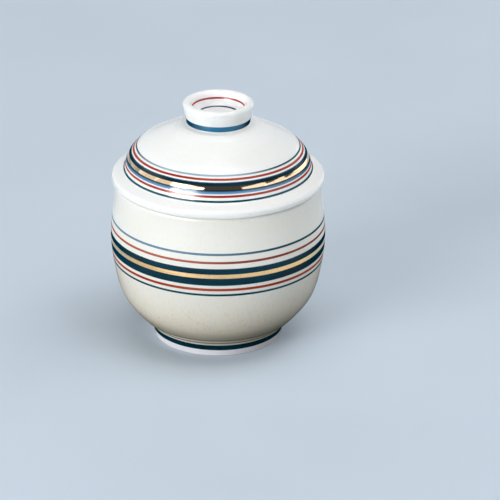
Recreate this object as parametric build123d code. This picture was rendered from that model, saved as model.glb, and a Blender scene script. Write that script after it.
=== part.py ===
from build123d import *
import os

# A lidded porcelain steaming cup: a round bowl on a turned foot ring, and a loose
# domed lid with a hollow ring knob. Millimetres, +Z up, turned about the Z axis.
# The origin is the centre of the circle that the foot ring stands on.
# Every point below is (radius, height).

# Foot ring and the recess inside it.
FOOT_REST_INNER = 23.4
FOOT_REST_OUTER = 26.0
FOOT_EDGE_ROUND = 0.25
FOOT_NECK = (27.8, 5.8)
FOOT_NECK_ROUND = 0.6
RECESS_RADIUS = 22.2
RECESS_HEIGHT = 4.1
RECESS_ROUND = 1.6

# Bowl wall, outside and inside.
BELLY_START_SLOPE = (0.80, 0.60)
BELLY = ((34.1, 12.0), (38.5, 18.0), (41.0, 24.5), (42.6, 33.0), (43.5, 42.5), (42.75, 54.0))
MOUTH_RADIUS = 41.95
MOUTH_WALL = 3.55
LIP_ROUND = 1.1
SEAT_HEIGHT = 66.4
HOLLOW = ((39.0, 54.0), (39.7, 42.5), (38.7, 32.5), (36.2, 23.5), (30.6, 15.6))
FLOOR_HEIGHT = 8.6
FLOOR_FLAT = 12.0

# Lid, outside.
BRIM_RADIUS = 42.9
BRIM_ROUND = 1.5
BRIM_EDGE_HEIGHT = 69.75
CREASE = (38.05, 71.75)
CREASE_ROUND = 2.2
SHOULDER = ((37.1, 75.1), (35.75, 78.0), (33.4, 80.75), (30.0, 83.45))
DOME_MIDDLE = (21.3, 87.75)
DOME_CREST_HEIGHT = 91.55

# Knob: a flared ring with a bowl-shaped hollow in its top.
KNOB_NECK_RADIUS = 12.6
KNOB_NECK_ROUND = 0.7
KNOB_WAIST = (13.5, 95.1)
KNOB_SHOULDER = (14.2, 98.8)
KNOB_REST_OUTER = 13.1
KNOB_REST_INNER = 12.3
KNOB_HEIGHT = 100.25
KNOB_HOLLOW = (10.6, 97.4)
KNOB_HOLLOW_FOOT = (7.7, 94.4)
KNOB_HOLLOW_FLOOR = 93.1

# Lid, inside. The flange hangs in the mouth and keeps the lid central.
FLANGE_CLEARANCE = 0.5
FLANGE_DEPTH = 3.6
FLANGE_THICKNESS = 2.9
FLANGE_ROUND = 0.9
FLANGE_ROOT_ROUND = 0.6
VAULT = ((34.0, 72.0), (32.3, 77.0), (28.0, 80.9), (15.0, 86.7))
VAULT_CREST_HEIGHT = 88.2

MOUTH_INNER = MOUTH_RADIUS - MOUTH_WALL
FLANGE_OUTER = MOUTH_INNER - FLANGE_CLEARANCE
FLANGE_INNER = FLANGE_OUTER - FLANGE_THICKNESS
FLANGE_END = SEAT_HEIGHT - FLANGE_DEPTH

INWARD = (-1, 0)
OUTWARD = (1, 0)
UPWARD = (0, 1)
DOWNWARD = (0, -1)


def turned(outline):
    """The solid that a closed outline on one side of the Z axis sweeps round it."""
    return revolve(Plane.XZ * make_face(outline), Axis.Z)


def soften(solid, corner, rounding):
    """Rounds the ring-shaped edge of a turned solid that passes through a (radius, height) corner."""
    radius, height = corner
    start = Vector(radius, 0, height)
    rings = solid.edges().filter_by(GeomType.CIRCLE).filter_by(Plane.XY)
    nearest = min(rings, key=lambda ring: (ring @ 0 - start).length)
    return fillet(nearest, rounding)


def foot_outline():
    """From the middle of the recess, down, round the foot ring and up to its neck."""
    top = Line((0, RECESS_HEIGHT), (RECESS_RADIUS - RECESS_ROUND, RECESS_HEIGHT))
    corner = TangentArc(
        top @ 1, (RECESS_RADIUS, RECESS_HEIGHT - RECESS_ROUND), tangent=OUTWARD
    )
    inside = Line(corner @ 1, (FOOT_REST_INNER, 0))
    rest = Line(inside @ 1, (FOOT_REST_OUTER, 0))
    edge = TangentArc(
        rest @ 1, (FOOT_REST_OUTER + FOOT_EDGE_ROUND, FOOT_EDGE_ROUND), tangent=OUTWARD
    )
    outside = TangentArc(edge @ 1, FOOT_NECK, tangent=UPWARD)
    return [top, corner, inside, rest, edge, outside]


def wall_outline():
    """From the foot's neck up the outside, over the lip, and down the inside to the axis."""
    lip_base = SEAT_HEIGHT - LIP_ROUND
    belly = Spline(
        FOOT_NECK, *BELLY, (MOUTH_RADIUS, lip_base), tangents=[BELLY_START_SLOPE, UPWARD]
    )
    lip_outside = TangentArc(
        belly @ 1, (MOUTH_RADIUS - LIP_ROUND, SEAT_HEIGHT), tangent=UPWARD
    )
    seat = Line(lip_outside @ 1, (MOUTH_INNER + LIP_ROUND, SEAT_HEIGHT))
    lip_inside = TangentArc(seat @ 1, (MOUTH_INNER, lip_base), tangent=INWARD)
    hollow = Spline(
        lip_inside @ 1, *HOLLOW, (FLOOR_FLAT, FLOOR_HEIGHT), tangents=[DOWNWARD, INWARD]
    )
    floor = Line(hollow @ 1, (0, FLOOR_HEIGHT))
    axis = Line(floor @ 1, (0, RECESS_HEIGHT))
    return [belly, lip_outside, seat, lip_inside, hollow, floor, axis]


def bowl():
    """The bowl and its foot ring, fired as one piece."""
    blank = turned(foot_outline() + wall_outline())
    return soften(blank, FOOT_NECK, FOOT_NECK_ROUND)


def brim_outline():
    """From the flange's root out along the seat, round the brim and up to the shoulder."""
    return FilletPolyline(
        (FLANGE_OUTER + FLANGE_ROOT_ROUND, SEAT_HEIGHT),
        (BRIM_RADIUS, SEAT_HEIGHT),
        (BRIM_RADIUS, BRIM_EDGE_HEIGHT),
        CREASE,
        SHOULDER[0],
        radius=[BRIM_ROUND, BRIM_ROUND, CREASE_ROUND],
    )


def dome_outline():
    """From the top of the steep shoulder over the dome to the knob's neck."""
    crest = (KNOB_NECK_RADIUS, DOME_CREST_HEIGHT)
    dome = ThreePointArc(SHOULDER[-1], DOME_MIDDLE, crest)
    rise = Vector(*SHOULDER[0]) - Vector(*CREASE)
    shoulder = Spline(*SHOULDER, tangents=[rise, dome % 0])
    return [shoulder, dome]


def knob_outline():
    """From the neck up the flared side, over the rim, and down the hollow to the axis."""
    neck = (KNOB_NECK_RADIUS, DOME_CREST_HEIGHT)
    side = ThreePointArc(neck, KNOB_WAIST, KNOB_SHOULDER)
    rim = TangentArc(side @ 1, (KNOB_REST_OUTER, KNOB_HEIGHT), tangent=side % 1)
    rest = Line(rim @ 1, (KNOB_REST_INNER, KNOB_HEIGHT))
    hollow = Spline(
        rest @ 1,
        KNOB_HOLLOW,
        KNOB_HOLLOW_FOOT,
        (0, KNOB_HOLLOW_FLOOR),
        tangents=[INWARD, INWARD],
    )
    axis = Line(hollow @ 1, (0, VAULT_CREST_HEIGHT))
    return [side, rim, rest, hollow, axis]


def underside_outline():
    """From the axis under the dome, down the vault, round the flange and up to its root."""
    vault = Spline(
        (0, VAULT_CREST_HEIGHT),
        *reversed(VAULT),
        (FLANGE_INNER, FLANGE_END + FLANGE_ROUND),
        tangents=[OUTWARD, DOWNWARD],
    )
    tip_inside = TangentArc(
        vault @ 1, (FLANGE_INNER + FLANGE_ROUND, FLANGE_END), tangent=DOWNWARD
    )
    tip = Line(tip_inside @ 1, (FLANGE_OUTER - FLANGE_ROUND, FLANGE_END))
    tip_outside = TangentArc(
        tip @ 1, (FLANGE_OUTER, FLANGE_END + FLANGE_ROUND), tangent=OUTWARD
    )
    side = Line(tip_outside @ 1, (FLANGE_OUTER, SEAT_HEIGHT - FLANGE_ROOT_ROUND))
    root = TangentArc(
        side @ 1, (FLANGE_OUTER + FLANGE_ROOT_ROUND, SEAT_HEIGHT), tangent=UPWARD
    )
    return [vault, tip_inside, tip, tip_outside, side, root]


def lid():
    """The domed lid, its locating flange and its ring knob, fired as one piece."""
    outside = [brim_outline()] + dome_outline() + knob_outline()
    blank = turned(outside + underside_outline())
    return soften(blank, (KNOB_NECK_RADIUS, DOME_CREST_HEIGHT), KNOB_NECK_ROUND)


os.makedirs("parts", exist_ok=True)
export_step(bowl(), "parts/bowl.step")
export_step(lid(), "parts/lid.step")
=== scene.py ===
import math
import random

import bmesh
import bpy
from mathutils import Matrix, Vector
from mathutils.bvhtree import BVHTree
from numpy.polynomial import Polynomial


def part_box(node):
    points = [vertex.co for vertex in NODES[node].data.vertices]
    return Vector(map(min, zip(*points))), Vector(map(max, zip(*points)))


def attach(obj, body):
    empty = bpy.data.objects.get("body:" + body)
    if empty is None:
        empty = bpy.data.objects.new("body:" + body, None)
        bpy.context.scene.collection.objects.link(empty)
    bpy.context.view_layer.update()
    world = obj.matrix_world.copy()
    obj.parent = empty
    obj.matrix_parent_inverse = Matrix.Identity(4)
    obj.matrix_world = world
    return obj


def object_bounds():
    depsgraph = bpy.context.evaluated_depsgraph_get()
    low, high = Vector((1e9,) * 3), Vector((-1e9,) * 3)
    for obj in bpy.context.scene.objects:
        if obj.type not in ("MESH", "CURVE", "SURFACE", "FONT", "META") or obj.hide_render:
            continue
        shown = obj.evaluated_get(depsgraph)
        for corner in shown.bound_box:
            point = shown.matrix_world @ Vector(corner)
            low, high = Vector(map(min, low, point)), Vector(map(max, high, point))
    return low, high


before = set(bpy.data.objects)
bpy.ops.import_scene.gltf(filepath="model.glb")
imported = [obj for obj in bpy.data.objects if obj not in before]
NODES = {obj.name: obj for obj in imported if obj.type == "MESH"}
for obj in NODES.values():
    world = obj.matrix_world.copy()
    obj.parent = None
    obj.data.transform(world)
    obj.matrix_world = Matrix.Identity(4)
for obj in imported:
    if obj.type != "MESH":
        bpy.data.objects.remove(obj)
CAD_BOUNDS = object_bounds()

# A lidded porcelain bowl with painted blue, red and gold bands, in the frame of the CAD model.
# Lengths are in metres, unless a comment says millimetres, and MM turns millimetres into metres.
# Colours are linear. TOP is the height of the lid's top, and REACH is a radius outside everything.
MM = 0.001
TOP = CAD_BOUNDS[1].z
REACH = CAD_BOUNDS[1].x * 1.2

# ---------------------------------------------------------------- reading the turned shape

TREES = {}
SLOPE_STEP = 0.15 * MM
READINGS = 25
FITTED_DEGREE = 3


def tree_of(node):
    """A search tree of a CAD node's own mesh."""
    if node not in TREES:
        TREES[node] = BVHTree.FromObject(NODES[node], bpy.context.evaluated_depsgraph_get())
    return TREES[node]


def skin_radius(node, height, inside=False):
    """The radius of a turned node's skin at a height, looked at from outside or from its axis."""
    start = Vector((0.0 if inside else REACH, 0.0, height))
    direction = Vector((1.0 if inside else -1.0, 0.0, 0.0))
    found = tree_of(node).ray_cast(start, direction)[0]
    return found.x


def skin_slope(node, height, inside=False):
    """How fast the skin's radius changes with height there."""
    above = skin_radius(node, height + SLOPE_STEP, inside)
    below = skin_radius(node, height - SLOPE_STEP, inside)
    return (above - below) / (2 * SLOPE_STEP)


def skin_reader(node, low, high, inside):
    """Radius and slope of the skin between two heights, as smooth curves fitted to readings."""
    heights = [low + (high - low) * i / (READINGS - 1) for i in range(READINGS)]
    radii = [skin_radius(node, height, inside) for height in heights]
    radius = Polynomial.fit(heights, radii, FITTED_DEGREE)
    return radius, radius.deriv()


# ---------------------------------------------------------------- painted bands

# A band has AROUND steps round the pot, and corners at these shares of the way ACROSS the stroke. It
# rises a hair above the skin, and its closed underside is SUNK below it.
AROUND = 360
ACROSS = (0.0, 0.25, 0.5, 0.75, 1.0)
ENAMEL_RISE = 0.05 * MM
GILT_RISE = 0.09 * MM
SUNK = 0.12 * MM
READ_BEYOND = 0.15 * MM
WAVES = 7


def brush_wander(rng, size):
    """A slow wander of a brush edge round the pot, as a function of the turning angle."""
    waves = [
        (k, rng.uniform(0.4, 1.0) / k ** 0.6, rng.uniform(0, math.tau))
        for k in range(1, WAVES + 1)
    ]
    total = sum(height for _, height, _ in waves)

    def wander(angle):
        return size * sum(h * math.sin(k * angle + turn) for k, h, turn in waves) / total

    return wander


def stroke_profile(low, high, rise):
    """The outline of a stroke as (height, lift, share of the way across), closed under the skin."""
    top = [(low + (high - low) * share, rise, share) for share in ACROSS]
    return [(low, -SUNK, 0.0)] + top + [(high, -SUNK, 1.0)]


def band_rows(mesh, name, node, low, high, rise, wobble, inside):
    """The corners of a band, as (vertex, share of the way across), a row for each step round."""
    rng = random.Random(name)
    low_edge = brush_wander(rng, wobble)
    high_edge = brush_wander(rng, wobble)
    margin = wobble + READ_BEYOND
    radius, slope = skin_reader(node, low - margin, high + margin, inside)
    side = -1.0 if inside else 1.0
    rows = []
    for i in range(AROUND):
        angle = math.tau * i / AROUND
        row = []
        for height, lift, share in stroke_profile(low + low_edge(angle), high + high_edge(angle), rise):
            lean = slope(height)
            out = side * lift / math.hypot(1.0, lean)
            r = radius(height) + out
            vert = mesh.verts.new((r * math.cos(angle), r * math.sin(angle), height - lean * out))
            row.append((vert, share))
        rows.append(row)
    return rows


def band_mesh(name, node, low, high, rise, wobble, inside):
    """A thin closed ring of paint on a turned node's skin between two heights.

    It stands a hair proud of the skin, and its two edges wander as a brush does. Its map runs round
    the pot in one direction and across the stroke in the other.
    """
    mesh = bmesh.new()
    stroke = mesh.loops.layers.uv.new("stroke")
    rows = band_rows(mesh, name, node, low, high, rise, wobble, inside)
    size = len(rows[0])
    for i in range(AROUND):
        here, there = rows[i], rows[(i + 1) % AROUND]
        for j in range(size):
            k = (j + 1) % size
            corners = ((here[j], i), (there[j], i + 1), (there[k], i + 1), (here[k], i))
            face = mesh.faces.new([corner[0] for corner, _ in corners])
            face.smooth = True
            for loop, (corner, along) in zip(face.loops, corners):
                loop[stroke].uv = (along / AROUND, corner[1])
        for j in (1, size - 2):
            mesh.edges.get((here[j][0], there[j][0])).smooth = False
    bmesh.ops.recalc_face_normals(mesh, faces=mesh.faces)
    data = bpy.data.meshes.new(name)
    mesh.to_mesh(data)
    mesh.free()
    return data


def join_meshes(name, parts):
    """One mesh from several."""
    mesh = bmesh.new()
    for part in parts:
        mesh.from_mesh(part)
        bpy.data.meshes.remove(part)
    data = bpy.data.meshes.new(name)
    mesh.to_mesh(data)
    mesh.free()
    return data


def paint(name, node, strokes, material, rise=ENAMEL_RISE, inside=False):
    """A piece made of one or more painted strokes, each (low, high, wobble) in millimetres of height."""
    parts = [
        band_mesh(f"{name}_{i}", node, low * MM, high * MM, rise, wobble * MM, inside)
        for i, (low, high, wobble) in enumerate(strokes)
    ]
    piece = bpy.data.objects.new(name, join_meshes(name, parts))
    bpy.context.scene.collection.objects.link(piece)
    piece.data.materials.append(material)
    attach(piece, node)


def line(node, height, width, wobble, inside=False):
    """A stroke of a given width along the skin, centred on a height, as (low, high, wobble), in mm."""
    slope = skin_slope(node, height * MM, inside)
    half = width / 2 / math.hypot(1.0, slope)
    return height - half, height + half, wobble


# ---------------------------------------------------------------- shader helper


class Shader:
    """A small helper that builds one node material."""

    def __init__(self, name):
        self.material = bpy.data.materials.new(name)
        self.material.use_nodes = True
        self.tree = self.material.node_tree
        self.tree.nodes.clear()
        output = self.tree.nodes.new("ShaderNodeOutputMaterial")
        self.surface = self.tree.nodes.new("ShaderNodeBsdfPrincipled")
        self.tree.links.new(self.surface.outputs[0], output.inputs["Surface"])
        self.place = self.tree.nodes.new("ShaderNodeTexCoord").outputs["Object"]

    def put(self, socket, value):
        """Links a socket, or sets a plain value."""
        if isinstance(value, bpy.types.NodeSocket):
            self.tree.links.new(value, socket)
        elif isinstance(value, tuple) and len(value) == 3 and socket.type == "RGBA":
            socket.default_value = (*value, 1.0)
        else:
            socket.default_value = value

    def math(self, operation, a, b=0.0, clamp=False):
        node = self.tree.nodes.new("ShaderNodeMath")
        node.operation = operation
        node.use_clamp = clamp
        self.put(node.inputs[0], a)
        self.put(node.inputs[1], b)
        return node.outputs[0]

    def times(self, a, b):
        return self.math("MULTIPLY", a, b)

    def stretched(self, scale):
        """The place in the row frame, scaled along each axis."""
        node = self.tree.nodes.new("ShaderNodeVectorMath")
        node.operation = "MULTIPLY"
        self.put(node.inputs[0], self.place)
        node.inputs[1].default_value = scale
        return node.outputs[0]

    def noise(self, scale, detail=2.0, vector=None):
        node = self.tree.nodes.new("ShaderNodeTexNoise")
        self.put(node.inputs["Vector"], vector if vector is not None else self.place)
        node.inputs["Scale"].default_value = scale
        node.inputs["Detail"].default_value = detail
        return node.outputs["Fac"]

    def stretched_noise(self, scale, detail=3.0):
        """Noise with a scale of its own along each axis."""
        return self.noise(1.0, detail, vector=self.stretched(scale))

    def turned_noise(self, scale, detail=2.0):
        """Noise that is the same all the way round, as marks left by turning are."""
        joined = self.tree.nodes.new("ShaderNodeCombineXYZ")
        for socket, value in zip(joined.inputs, self.radius_and_height()):
            self.put(socket, value)
        return self.noise(scale, detail, vector=joined.outputs[0])

    def cells(self, scale):
        """The distance to the nearest of a scatter of points, and a random value for each point."""
        node = self.tree.nodes.new("ShaderNodeTexVoronoi")
        self.put(node.inputs["Vector"], self.place)
        node.inputs["Scale"].default_value = scale
        split = self.tree.nodes.new("ShaderNodeSeparateColor")
        self.put(split.inputs[0], node.outputs["Color"])
        return node.outputs["Distance"], split.outputs[0]

    def between(self, value, start, end, low=0.0, high=1.0):
        """value carried smoothly from start..end to low..high."""
        node = self.tree.nodes.new("ShaderNodeMapRange")
        node.interpolation_type = "SMOOTHSTEP"
        self.put(node.inputs["Value"], value)
        node.inputs["From Min"].default_value = start
        node.inputs["From Max"].default_value = end
        node.inputs["To Min"].default_value = low
        node.inputs["To Max"].default_value = high
        return node.outputs["Result"]

    def mix(self, share, a, b):
        """A colour between two colours."""
        node = self.tree.nodes.new("ShaderNodeMix")
        node.data_type = "RGBA"
        self.put(node.inputs[0], share)
        self.put(node.inputs[6], a)
        self.put(node.inputs[7], b)
        return node.outputs[2]

    def blend(self, share, a, b):
        """A number between two numbers."""
        node = self.tree.nodes.new("ShaderNodeMix")
        self.put(node.inputs[0], share)
        self.put(node.inputs[2], a)
        self.put(node.inputs[3], b)
        return node.outputs[0]

    def radius_and_height(self):
        """The distance from the turning axis, and the height."""
        split = self.tree.nodes.new("ShaderNodeSeparateXYZ")
        self.put(split.inputs[0], self.place)
        x_square = self.math("POWER", split.outputs[0], 2.0)
        y_square = self.math("POWER", split.outputs[1], 2.0)
        return self.math("SQRT", self.math("ADD", x_square, y_square)), split.outputs[2]

    def facing(self, azimuth):
        """1 on the side of the pot at an azimuth from the front, -1 on the far side."""
        turn = math.radians(azimuth)
        node = self.tree.nodes.new("ShaderNodeVectorMath")
        node.operation = "DOT_PRODUCT"
        self.put(node.inputs[0], self.place)
        node.inputs[1].default_value = (math.sin(turn), -math.cos(turn), 0.0)
        return self.math("DIVIDE", node.outputs["Value"], self.radius_and_height()[0])

    def side_on(self):
        """0 where the skin faces the eye, 1 where it is seen edge on."""
        return self.tree.nodes.new("ShaderNodeLayerWeight").outputs["Facing"]

    def across(self):
        """Where a point of a stroke lies between its two edges, from 0 to 1."""
        node = self.tree.nodes.new("ShaderNodeUVMap")
        node.uv_map = "stroke"
        split = self.tree.nodes.new("ShaderNodeSeparateXYZ")
        self.put(split.inputs[0], node.outputs[0])
        return split.outputs[1]

    def bump(self, height, distance, normal=None):
        node = self.tree.nodes.new("ShaderNodeBump")
        node.inputs["Distance"].default_value = distance
        node.inputs["Strength"].default_value = 1.0
        self.put(node.inputs["Height"], height)
        if normal is not None:
            self.put(node.inputs["Normal"], normal)
        return node.outputs["Normal"]

    def finish(self, **values):
        """Sets the surface's inputs and gives the material."""
        for name, value in values.items():
            self.put(self.surface.inputs[name.replace("_", " ")], value)
        return self.material


# ---------------------------------------------------------------- glaze

GLASS_IOR = 1.5
BOWL_TONES = {
    "base": (0.805, 0.800, 0.740),
    "pale": (0.835, 0.832, 0.785),
    "warm": (0.880, 0.805, 0.625),
    "white": (0.88, 0.90, 0.97),
}
# The lid's white is the colour its hollow is painted, as painted light.
LID_TONES = {
    "base": (0.845, 0.853, 0.838),
    "pale": (0.865, 0.875, 0.866),
    "warm": (0.815, 0.815, 0.785),
    "white": (0.90, 0.90, 0.92),
}
SPECK = (0.22, 0.18, 0.13)
MOTTLE = (0.58, 0.54, 0.42)
# The colour of the painted shade on the knob's outer wall.
KNOB_WALL_SHADE = (0.76, 0.765, 0.75)
BARE_CLAY = ((0.74, 0.71, 0.65), (0.66, 0.62, 0.55))

# Low on the bowl: the height where the glaze is warmest, the heights and colour of a painted shade
# that darkens it towards the foot, and two thin dark rings at the foot's neck, with their colour. The
# half widths are those of a whole ring and of its darkest part.
WARMEST = 8 * MM
FOOT_SHADE = (0.42, 0.41, 0.32)
FOOT_SHADE_TOP = 16 * MM
FOOT_SHADE_FULL = 9 * MM
NECK_RING_TONE = (0.27, 0.27, 0.21)
NECK_RINGS = (6.75 * MM, 8.95 * MM)
NECK_RING_HALF_WIDTHS = (0.8 * MM, 0.35 * MM)

# The knob and the dome round it: heights of the knob's outer wall, which gets a painted shade, the
# radii between which its hollow is painted whiter as painted light, and the pitch and the radii of
# the throwing rings on the dome.
WALL_BASE = 90 * MM
WALL_TOP = 100 * MM
LIT_HOLLOW_EDGE = (12.8 * MM, 11.5 * MM)
RING_PITCH = 2.3 * MM
RINGS_FROM = 12.8 * MM
RINGS_TO = 21.0 * MM


def bare_zone(s, zones):
    """1 where the clay is left bare. Each zone is (low, high, inner radius, outer radius)."""
    radius, height = s.radius_and_height()
    edge = 0.15 * MM
    ragged = s.times(s.math("SUBTRACT", s.noise(600.0), 0.5), 0.3 * MM)
    height = s.math("ADD", height, ragged)
    radius = s.math("ADD", radius, ragged)
    bare = 0.0
    for low, high, inner, outer in zones:
        above = s.between(height, low - edge, low)
        below = s.between(height, high + edge, high)
        beyond = s.between(radius, inner - edge, inner)
        within = s.between(radius, outer + edge, outer)
        zone = s.times(s.times(above, below), s.times(beyond, within))
        bare = s.math("MAXIMUM", bare, zone)
    return bare


def clouded(s, tones, low_down):
    """Cloudy ivory with faint turning streaks, and warm vertical runs low down on the pot."""
    clouds = s.between(s.noise(28.0, detail=3.0), 0.35, 0.68, 0.0, 0.6)
    colour = s.mix(clouds, tones["base"], tones["pale"])
    streaks = s.stretched_noise((30.0, 30.0, 420.0))
    colour = s.mix(s.between(streaks, 0.45, 0.75, 0.0, 0.25), colour, tones["warm"])
    runs = s.stretched_noise((420.0, 420.0, 60.0))
    return s.mix(s.times(low_down, s.between(runs, 0.3, 0.7, 0.5, 1.0)), colour, tones["warm"])


def shade_and_rings_near_foot(s, colour):
    """Painted shade that darkens the glaze towards the foot, and two thin dark rings at the foot's neck.
    """
    height = s.radius_and_height()[1]
    # Painted shade: darker towards the foot.
    nearer = s.between(height, FOOT_SHADE_TOP, FOOT_SHADE_FULL, 0.0, 0.8)
    above_rings = s.between(height, FOOT_SHADE_FULL - MM, FOOT_SHADE_FULL + 0.5 * MM)
    colour = s.mix(s.times(nearer, above_rings), colour, FOOT_SHADE)
    # Two thin dark rings at the foot's neck.
    rings = 0.0
    for middle in NECK_RINGS:
        off = s.math("ABSOLUTE", s.math("SUBTRACT", height, middle))
        rings = s.math("ADD", rings, s.between(off, *NECK_RING_HALF_WIDTHS, 0.0, 0.8))
    return s.mix(rings, colour, NECK_RING_TONE)


def mottled(s, colour, low_down):
    """Fine brown mottling, strongest low down."""
    mottle = s.between(s.stretched_noise((1300.0, 1300.0, 420.0)), 0.50, 0.75, 0.0, 0.5)
    strength = s.math("ADD", s.times(low_down, 0.8), 0.2)
    return s.mix(s.times(mottle, strength), colour, MOTTLE)


def iron_specks(s, clean, low_down):
    """1 at specks of iron. clean is the share of places without one, which is less low down."""
    distance, chance = s.cells(260.0)
    rare = s.math("SUBTRACT", clean, s.times(low_down, 0.24))
    return s.times(s.between(distance, 0.13, 0.05), s.math("GREATER_THAN", chance, rare))


def knob_wall_shade(s):
    """1 where the knob's outer wall gets its painted shade: its lower part, fading out towards its rim.
    """
    radius, height = s.radius_and_height()
    above = s.between(height, WALL_BASE, WALL_BASE + 2 * MM)
    below = s.between(height, WALL_TOP, WALL_TOP - 5 * MM)
    return s.times(s.times(above, below), s.between(radius, 12.1 * MM, 12.9 * MM))


def throwing_rings(s):
    """Ripples on the dome that die out away from the knob's neck."""
    radius = s.radius_and_height()[0]
    ripple = s.math("SINE", s.times(radius, math.tau / RING_PITCH))
    rising = s.between(radius, RINGS_FROM, RINGS_FROM + MM)
    fading = s.between(radius, RINGS_TO, RINGS_FROM)
    return s.times(ripple, s.times(rising, fading))


def glaze_skin(s, specks, grain, bare, knob):
    """Bumps: a soft unevenness, turning marks, pinholes at the specks, and the grain of bare clay."""
    skin = s.bump(s.noise(150.0, detail=1.0), 0.03 * MM)
    skin = s.bump(s.turned_noise(420.0), 0.035 * MM, normal=skin)
    if knob:
        skin = s.bump(throwing_rings(s), 0.05 * MM, normal=skin)
    skin = s.bump(s.between(specks, 1.0, 0.0), 0.04 * MM, normal=skin)
    return s.bump(s.times(grain, bare), 0.04 * MM, normal=skin)


def glaze_material(
    name, tones, zones, warm_below=10 * MM, white_below=0.0, clean=0.985, knob=False
):
    """Glossy ivory glaze with a faint cloudiness, turning marks, pinholes and specks of iron.

    It grows warmer and more mottled from warm_below down, and is clear white from white_below down.
    clean is the share of places that have no speck. knob says that there is a knob on top, with a
    painted shade on its outer wall, its hollow painted whiter as painted light, and throwing rings
    round its neck.
    """
    s = Shader(name)
    radius, height = s.radius_and_height()
    low_down = s.between(height, warm_below, WARMEST)
    colour = clouded(s, tones, low_down)
    colour = shade_and_rings_near_foot(s, colour)
    colour = mottled(s, colour, low_down)
    white = s.between(height, white_below + 0.3 * MM, white_below)
    colour = s.mix(white, colour, tones["white"])
    specks = iron_specks(s, clean, low_down)
    colour = s.mix(s.times(specks, 0.8), colour, SPECK)
    if knob:
        # Painted shade on the knob's outer wall.
        colour = s.mix(knob_wall_shade(s), colour, KNOB_WALL_SHADE)
        # The hollow painted whiter: painted light.
        colour = s.mix(s.between(radius, *LIT_HOLLOW_EDGE), colour, tones["white"])
    bare = bare_zone(s, zones)
    grain = s.noise(2400.0)
    colour = s.mix(bare, colour, s.mix(grain, *BARE_CLAY))
    glazed = s.between(s.noise(90.0), 0.3, 0.7, 0.12, 0.20)
    rough = s.blend(bare, glazed, 0.75)
    skin = glaze_skin(s, specks, grain, bare, knob)
    return s.finish(Base_Color=colour, Roughness=rough, IOR=GLASS_IOR, Normal=skin)


def dress(node, material):
    """Gives a CAD node its finish."""
    for slot in NODES[node].material_slots:
        slot.material = material


# ---------------------------------------------------------------- enamel and gold


def enamel_material(
    name, deep, pale, paleness, roughness, shine=0.4, lit_side=None, lit_from=0.5, reflected_edge=0.0
):
    """A brushed stroke: uneven in strength along and across the brush, and dull where seen edge on.

    paleness is how far it goes from deep to pale where the paint is weak.
    roughness is its least roughness, and shine is how much it mirrors where it faces the eye.
    lit_side is the side of the pot, as an azimuth from the front, where the stroke is painted paler
    as a painted highlight, and lit_from is how far round from it that begins, as a cosine.
    reflected_edge is how pale the stroke is painted along its lower edge, most of all in front: a
    painted reflection.
    """
    s = Shader(name)
    pooled = s.stretched_noise((38.0, 38.0, 160.0))
    brushed = s.stretched_noise((60.0, 60.0, 2800.0), detail=2.0)
    weak_and_lit = s.times(s.between(pooled, 0.38, 0.72), paleness)
    weak_and_lit = s.math("ADD", weak_and_lit, s.between(brushed, 0.45, 0.8, 0.0, paleness * 0.5), clamp=True)
    # Paler on the lit side: a painted highlight.
    if lit_side is not None:
        lit_paling = s.between(s.facing(lit_side), lit_from, 0.95, 0.0, 0.7)
        weak_and_lit = s.math("ADD", s.times(weak_and_lit, 0.5), lit_paling, clamp=True)
    # Paler along the lower edge, most of all in front: a painted reflection.
    if reflected_edge:
        side = s.between(s.facing(-15), 0.0, 0.9, 0.35, 1.0)
        edge = s.times(side, s.between(s.across(), 0.34, 0.06, 0.0, reflected_edge))
        weak_and_lit = s.math("MAXIMUM", weak_and_lit, edge)
    colour = s.mix(weak_and_lit, deep, pale)
    to_edge = s.math("PINGPONG", s.across(), 0.5)
    ragged = s.times(s.math("SUBTRACT", s.noise(900.0), 0.5), 0.10)
    rim = s.between(s.math("ADD", to_edge, ragged), 0.0, 0.10, 0.45, 0.0)
    colour = s.mix(rim, colour, pale)
    rough = s.between(s.noise(120.0), 0.3, 0.7, roughness, roughness + 0.08)
    skin = s.bump(s.noise(150.0, detail=1.0), 0.03 * MM)
    skin = s.bump(brushed, 0.006 * MM, normal=skin)
    sheen = s.between(s.side_on(), 0.30, 0.62, shine, 0.0)
    return s.finish(
        Base_Color=colour, Roughness=rough, IOR=GLASS_IOR, Specular_IOR_Level=sheen, Normal=skin
    )


def gilt_material(name, tones, roughness):
    """Fired gold lustre: brushed round the pot and slightly rubbed.

    tones are bright, rubbed and streaked gold, and roughness is its least roughness.
    """
    s = Shader(name)
    bright, rubbed_tone, streaked = tones
    brushed = s.stretched_noise((40.0, 40.0, 2400.0))
    rubbed = s.noise(140.0, detail=3.0)
    ticks = s.stretched_noise((1500.0, 1500.0, 240.0), detail=2.0)
    colour = s.mix(s.between(rubbed, 0.45, 0.8, 0.0, 0.5), bright, rubbed_tone)
    colour = s.mix(s.between(brushed, 0.48, 0.70, 0.0, 0.6), colour, streaked)
    colour = s.mix(s.between(ticks, 0.5, 0.75, 0.0, 0.35), colour, streaked)
    worn = s.between(rubbed, 0.5, 0.8, 0.0, 0.10)
    rough = s.math("ADD", s.between(brushed, 0.35, 0.7, roughness, roughness + 0.07), worn)
    skin = s.bump(brushed, 0.006 * MM)
    skin = s.bump(ticks, 0.004 * MM, normal=skin)
    skin = s.bump(s.noise(220.0), 0.012 * MM, normal=skin)
    return s.finish(Base_Color=colour, Roughness=rough, Metallic=1.0, Normal=skin)


# Strokes given a lit side are painted paler there, as a painted highlight.
DEEP_LINE_BLUE = (0.0, 0.050, 0.072)
NAVY = enamel_material("navy", (0.0, 0.021, 0.035), (0.003, 0.075, 0.135), 0.30, 0.10, shine=0.12)
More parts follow.
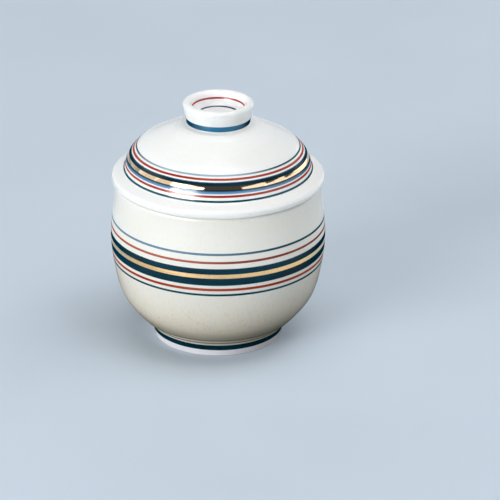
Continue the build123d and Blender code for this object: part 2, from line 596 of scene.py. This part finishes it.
# The lid's navy is painted paler along its lower edge, as a painted reflection.
LID_NAVY = enamel_material(
    "lid_navy", (0.0, 0.016, 0.024), (0.13, 0.29, 0.52), 0.05, 0.08, shine=0.45, reflected_edge=0.95
)
KNOB_NAVY = enamel_material(
    "knob_navy", (0.0, 0.030, 0.055), (0.004, 0.150, 0.300), 0.4, 0.10, lit_side=5
)
LINE_BLUE = enamel_material("line_blue", DEEP_LINE_BLUE, (0.05, 0.18, 0.24), 0.25, 0.12, shine=0.25)
PALE_BLUE = enamel_material(
    "pale_blue", DEEP_LINE_BLUE, (0.17, 0.31, 0.43), 0.2, 0.12, shine=0.25, lit_side=-50, lit_from=0.0
)
LID_PALE_BLUE = enamel_material(
    "lid_pale_blue", DEEP_LINE_BLUE, (0.42, 0.54, 0.64), 0.2, 0.12, shine=0.25, lit_side=-18,
    lit_from=0.45,
)
DARK_RED = enamel_material(
    "dark_red", (0.200, 0.030, 0.020), (0.46, 0.115, 0.08), 0.35, 0.18, lit_side=-45
)
IRON_RED = enamel_material("iron_red", (0.330, 0.032, 0.016), (0.56, 0.15, 0.09), 0.32, 0.18)
BOWL_GILT = gilt_material(
    "bowl_gilt", ((1.0, 0.77, 0.44), (0.86, 0.60, 0.30), (0.62, 0.38, 0.16)), 0.09
)
LID_GILT = gilt_material(
    "lid_gilt", ((0.98, 0.76, 0.50), (0.84, 0.61, 0.37), (0.78, 0.54, 0.31)), 0.05
)

# ---------------------------------------------------------------- the object

BOWL_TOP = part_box("bowl")[1].z
SEAT_BARE = (BOWL_TOP - 0.1 * MM, BOWL_TOP + 0.1 * MM)
FOOT_BARE = (-1 * MM, 0.12 * MM, 23.0 * MM, 26.3 * MM)
LIP_BARE = (*SEAT_BARE, 39.0 * MM, 41.2 * MM)
BRIM_BARE = (*SEAT_BARE, 38.6 * MM, 41.6 * MM)

# How far the edges of a stroke wander, in millimetres.
BLUE_WANDER = 0.04
RED_WANDER = 0.05
BAND_WANDER = 0.06
GOLD_WANDER = 0.05
NARROW_BAND_WANDER = 0.05
KNOB_RING_WANDER = 0.04

# Strokes are in millimetres. A line is given by its height and width, a band by its two edges.


def paint_bowl():
    """The bowl's painting: four lines and a gold-centred band round the body, one band on the foot."""
    upper_blue = line("bowl", 51.9, 0.91, BLUE_WANDER)
    upper_red = line("bowl", 48.5, 0.95, RED_WANDER)
    navy = (38.72, 45.93, BAND_WANDER)
    gold = (41.83, 43.58, GOLD_WANDER)
    lower_red = line("bowl", 36.77, 1.14, RED_WANDER)
    lower_blue = line("bowl", 34.4, 0.93, BLUE_WANDER)
    foot = (2.58, 5.09, NARROW_BAND_WANDER)
    paint("bowl_upper_line", "bowl", [upper_blue], PALE_BLUE)
    paint("bowl_lower_line", "bowl", [lower_blue], LINE_BLUE)
    paint("bowl_upper_red_line", "bowl", [upper_red], DARK_RED)
    paint("bowl_lower_red_line", "bowl", [lower_red], IRON_RED)
    paint("bowl_navy_band", "bowl", [navy], NAVY)
    paint("bowl_gilt_band", "bowl", [gold], BOWL_GILT, rise=GILT_RISE)
    paint("foot_navy_band", "bowl", [foot], NAVY)


def paint_lid():
    """The lid's painting: the same order of lines round its shoulder."""
    inner_blue = line("lid", 81.30, 0.72, BLUE_WANDER)
    inner_red = line("lid", 80.11, 0.95, RED_WANDER)
    navy = (75.19, 79.24, BAND_WANDER)
    gold = (76.65, 77.97, GOLD_WANDER)
    outer_red = line("lid", 74.24, 0.90, RED_WANDER)
    outer_blue = line("lid", 72.36, 0.85, BLUE_WANDER)
    paint("lid_inner_line", "lid", [inner_blue], LID_PALE_BLUE)
    paint("lid_outer_line", "lid", [outer_blue], LINE_BLUE)
    paint("lid_red_lines", "lid", [inner_red, outer_red], IRON_RED)
    paint("lid_navy_band", "lid", [navy], LID_NAVY)
    paint("lid_gilt_band", "lid", [gold], LID_GILT, rise=GILT_RISE)


def paint_knob():
    """A band round the knob's neck, and a red and a blue ring in its hollow."""
    red_ring = line("lid", 97.5, 0.75, KNOB_RING_WANDER, inside=True)
    blue_ring = line("lid", 94.75, 0.62, KNOB_RING_WANDER, inside=True)
    neck = (91.75, 94.02, NARROW_BAND_WANDER)
    paint("knob_navy_band", "lid", [neck], KNOB_NAVY)
    paint("knob_red_ring", "lid", [red_ring], IRON_RED, inside=True)
    paint("knob_blue_ring", "lid", [blue_ring], LINE_BLUE, inside=True)


# ---------------------------------------------------------------- stage, light, camera

BACKDROP = (0.558, 0.638, 0.723)
ROOM = (0.06, 0.06, 0.06)
FLOOR_TONES = ((0.525, 0.61, 0.70), (0.545, 0.63, 0.72))
FLOOR_BY_FOOT = (0.03, 0.03, 0.025)
FLOOR_MIRRORED = (0.68, 0.65, 0.61)
BLACK = (0.0, 0.0, 0.0)
FLOOR_RADIUS = 6.0
LAMP_DISTANCE = 1.5

# The radii between which the floor goes dark towards the foot, and those between which it fades out.
DARK_BY_FOOT = (0.125, 0.07)
FADING = (0.5, 1.2)

# The wall of light on the right: azimuths, and the elevation that each part of it reaches up to,
# from the one base.
RIGHT_WALL = ((48, 36), (78, 28), (108, 18), (138, 14))
WALL_OF_LIGHT_BASE = -4


def floor_material():
    """Pale paper.

    Close to the foot it throws little light back up, as a dark tray would, and in front it is
    mirrored warm. Far off the camera sees it fade into the backdrop.
    """
    s = Shader("floor_paper")
    radius = s.radius_and_height()[0]
    ray = s.tree.nodes.new("ShaderNodeLightPath").outputs
    tone = s.mix(s.between(s.noise(9.0), 0.3, 0.7), *FLOOR_TONES)
    in_front = s.between(s.facing(0), -0.3, 0.2)
    tone = s.mix(s.times(ray["Is Glossy Ray"], in_front), tone, FLOOR_MIRRORED)
    bounced = s.math("SUBTRACT", 1.0, ray["Is Camera Ray"])
    tone = s.mix(s.times(bounced, s.between(radius, *DARK_BY_FOOT)), tone, FLOOR_BY_FOOT)
    faded = s.times(ray["Is Camera Ray"], s.between(radius, *FADING))
    return s.finish(
        Base_Color=s.mix(faded, tone, BLACK),
        Roughness=0.75,
        Specular_IOR_Level=s.between(faded, 0.0, 1.0, 0.5, 0.0),
        Emission_Color=BACKDROP,
        Emission_Strength=faded,
    )


def floor():
    """A plain pale floor, wide enough to fill every view."""
    mesh = bmesh.new()
    bmesh.ops.create_circle(mesh, cap_ends=True, segments=96, radius=FLOOR_RADIUS)
    data = bpy.data.meshes.new("floor")
    mesh.to_mesh(data)
    mesh.free()
    piece = bpy.data.objects.new("floor", data)
    bpy.context.scene.collection.objects.link(piece)
    data.materials.append(floor_material())


def softbox(name, azimuth, elevation, size, glow, soft=True, mirrored=True):
    """A soft rectangular lamp of even brightness aimed at the object.

    Azimuth 0 is the camera's side, positive to its right. glow is the brightness of its face.
    soft says whether it gives diffuse light, and mirrored whether its face shows in the glaze.
    """
    turn = math.radians(azimuth)
    climb = math.radians(elevation)
    aim = Vector((0, 0, TOP / 2))
    level = math.cos(climb)
    away = Vector((math.sin(turn) * level, -math.cos(turn) * level, math.sin(climb)))
    width, height = size
    data = bpy.data.lights.new(name, "AREA")
    data.shape = "RECTANGLE"
    data.size = width
    data.size_y = height
    data.energy = glow * math.pi * width * height
    lamp = bpy.data.objects.new(name, data)
    lamp.location = aim + away * LAMP_DISTANCE
    lamp.rotation_mode = "QUATERNION"
    lamp.rotation_quaternion = away.to_track_quat("Z", "Y")
    lamp.visible_camera = False
    lamp.visible_diffuse = soft
    lamp.visible_glossy = mirrored
    bpy.context.scene.collection.objects.link(lamp)


def left_lights():
    """The key lamp, a bright glint and a dim spread that only show mirrored, and a dim wall behind."""
    softbox("key", -42, 17, (0.74, 0.60), 11.8)
    softbox("key_glint", -43, 9, (0.85, 0.40), 22.0, soft=False)
    softbox("key_spread", -41, 27, (1.02, 0.64), 2.9, soft=False)
    for azimuth in (-70, -100):
        softbox(f"left_wall_{-azimuth}", azimuth, 22, (0.8, 0.7), 0.74)


def right_lights():
    """An even fill, and a wall of light that the glaze mirrors, lower the further back it is."""
    for azimuth, top in RIGHT_WALL:
        span = math.radians(top - WALL_OF_LIGHT_BASE)
        tall = 2 * LAMP_DISTANCE * math.tan(span / 2)
        middle = (top + WALL_OF_LIGHT_BASE) / 2
        softbox(f"right_fill_{azimuth}", azimuth, 30, (0.8, 1.5), 0.82, mirrored=False)
        softbox(f"right_wall_{azimuth}", azimuth, middle, (0.8, tall), 1.05, soft=False)


def other_lights():
    """Soft light from behind and above."""
    softbox("back", 180, 22, (0.8, 0.9), 1.4, mirrored=False)
    softbox("back_left", -150, 22, (1.0, 0.9), 1.0, mirrored=False)
    softbox("top_right", 75, 66, (1.0, 0.5), 3.0, mirrored=False)
    softbox("overhead", 0, 86, (0.9, 0.9), 2.28)


def studio():
    """The room: dim in front, with the pale backdrop behind the object as the glaze sees it.

    Where the camera looks straight at it, it is plain and pale all round.
    """
    world = bpy.data.worlds.new("studio")
    world.use_nodes = True
    tree = world.node_tree

    def pick(share, a, b):
        node = tree.nodes.new("ShaderNodeMix")
        node.data_type = "RGBA"
        tree.links.new(share, node.inputs[0])
        for socket, value in ((node.inputs[6], a), (node.inputs[7], b)):
            if isinstance(value, bpy.types.NodeSocket):
                tree.links.new(value, socket)
            else:
                socket.default_value = (*value, 1.0)
        return node.outputs[2]

    ray = tree.nodes.new("ShaderNodeLightPath").outputs
    split = tree.nodes.new("ShaderNodeSeparateXYZ")
    tree.links.new(tree.nodes.new("ShaderNodeTexCoord").outputs["Generated"], split.inputs[0])
    behind = tree.nodes.new("ShaderNodeMapRange")
    behind.interpolation_type = "SMOOTHSTEP"
    behind.inputs["From Min"].default_value = 0.15
    behind.inputs["From Max"].default_value = 0.75
    tree.links.new(split.outputs[1], behind.inputs["Value"])
    seen_in_glaze = pick(behind.outputs["Result"], ROOM, BACKDROP)
    colour = pick(ray["Is Glossy Ray"], ROOM, seen_in_glaze)
    colour = pick(ray["Is Camera Ray"], colour, BACKDROP)
    tree.links.new(colour, tree.nodes["Background"].inputs["Color"])
    bpy.context.scene.world = world


# Where the camera stands: how far in front, how high, and its angles in degrees.
CAMERA_DISTANCE = 1.1441
CAMERA_HEIGHT = 0.5363
CAMERA_PITCH = 23.65
CAMERA_YAW = 0.651
CAMERA_ROLL = 0.348
CAMERA_LENS = 220.5


def camera():
    """A long lens looking down at the object from the front."""
    data = bpy.data.cameras.new("camera")
    data.sensor_width = 36.0
    data.lens = CAMERA_LENS
    data.clip_start = 0.05
    data.clip_end = 40.0
    eye = bpy.data.objects.new("camera", data)
    place = Matrix.Translation((0, -CAMERA_DISTANCE, CAMERA_HEIGHT))
    yaw = Matrix.Rotation(-math.radians(CAMERA_YAW), 4, "Z")
    pitch = Matrix.Rotation(math.pi / 2 - math.radians(CAMERA_PITCH), 4, "X")
    roll = Matrix.Rotation(math.radians(CAMERA_ROLL), 4, "Z")
    eye.matrix_world = place @ yaw @ pitch @ roll
    bpy.context.scene.collection.objects.link(eye)
    bpy.context.scene.camera = eye


BOWL_GLAZE = glaze_material(
    "bowl_glaze", BOWL_TONES, [FOOT_BARE, LIP_BARE], warm_below=40 * MM, white_below=4 * MM
)
LID_GLAZE = glaze_material("lid_glaze", LID_TONES, [BRIM_BARE], clean=0.999, knob=True)

dress("bowl", BOWL_GLAZE)
dress("lid", LID_GLAZE)
paint_bowl()
paint_lid()
paint_knob()
floor()
studio()
left_lights()
right_lights()
other_lights()
camera()
bpy.context.scene.view_settings.view_transform = "Standard"
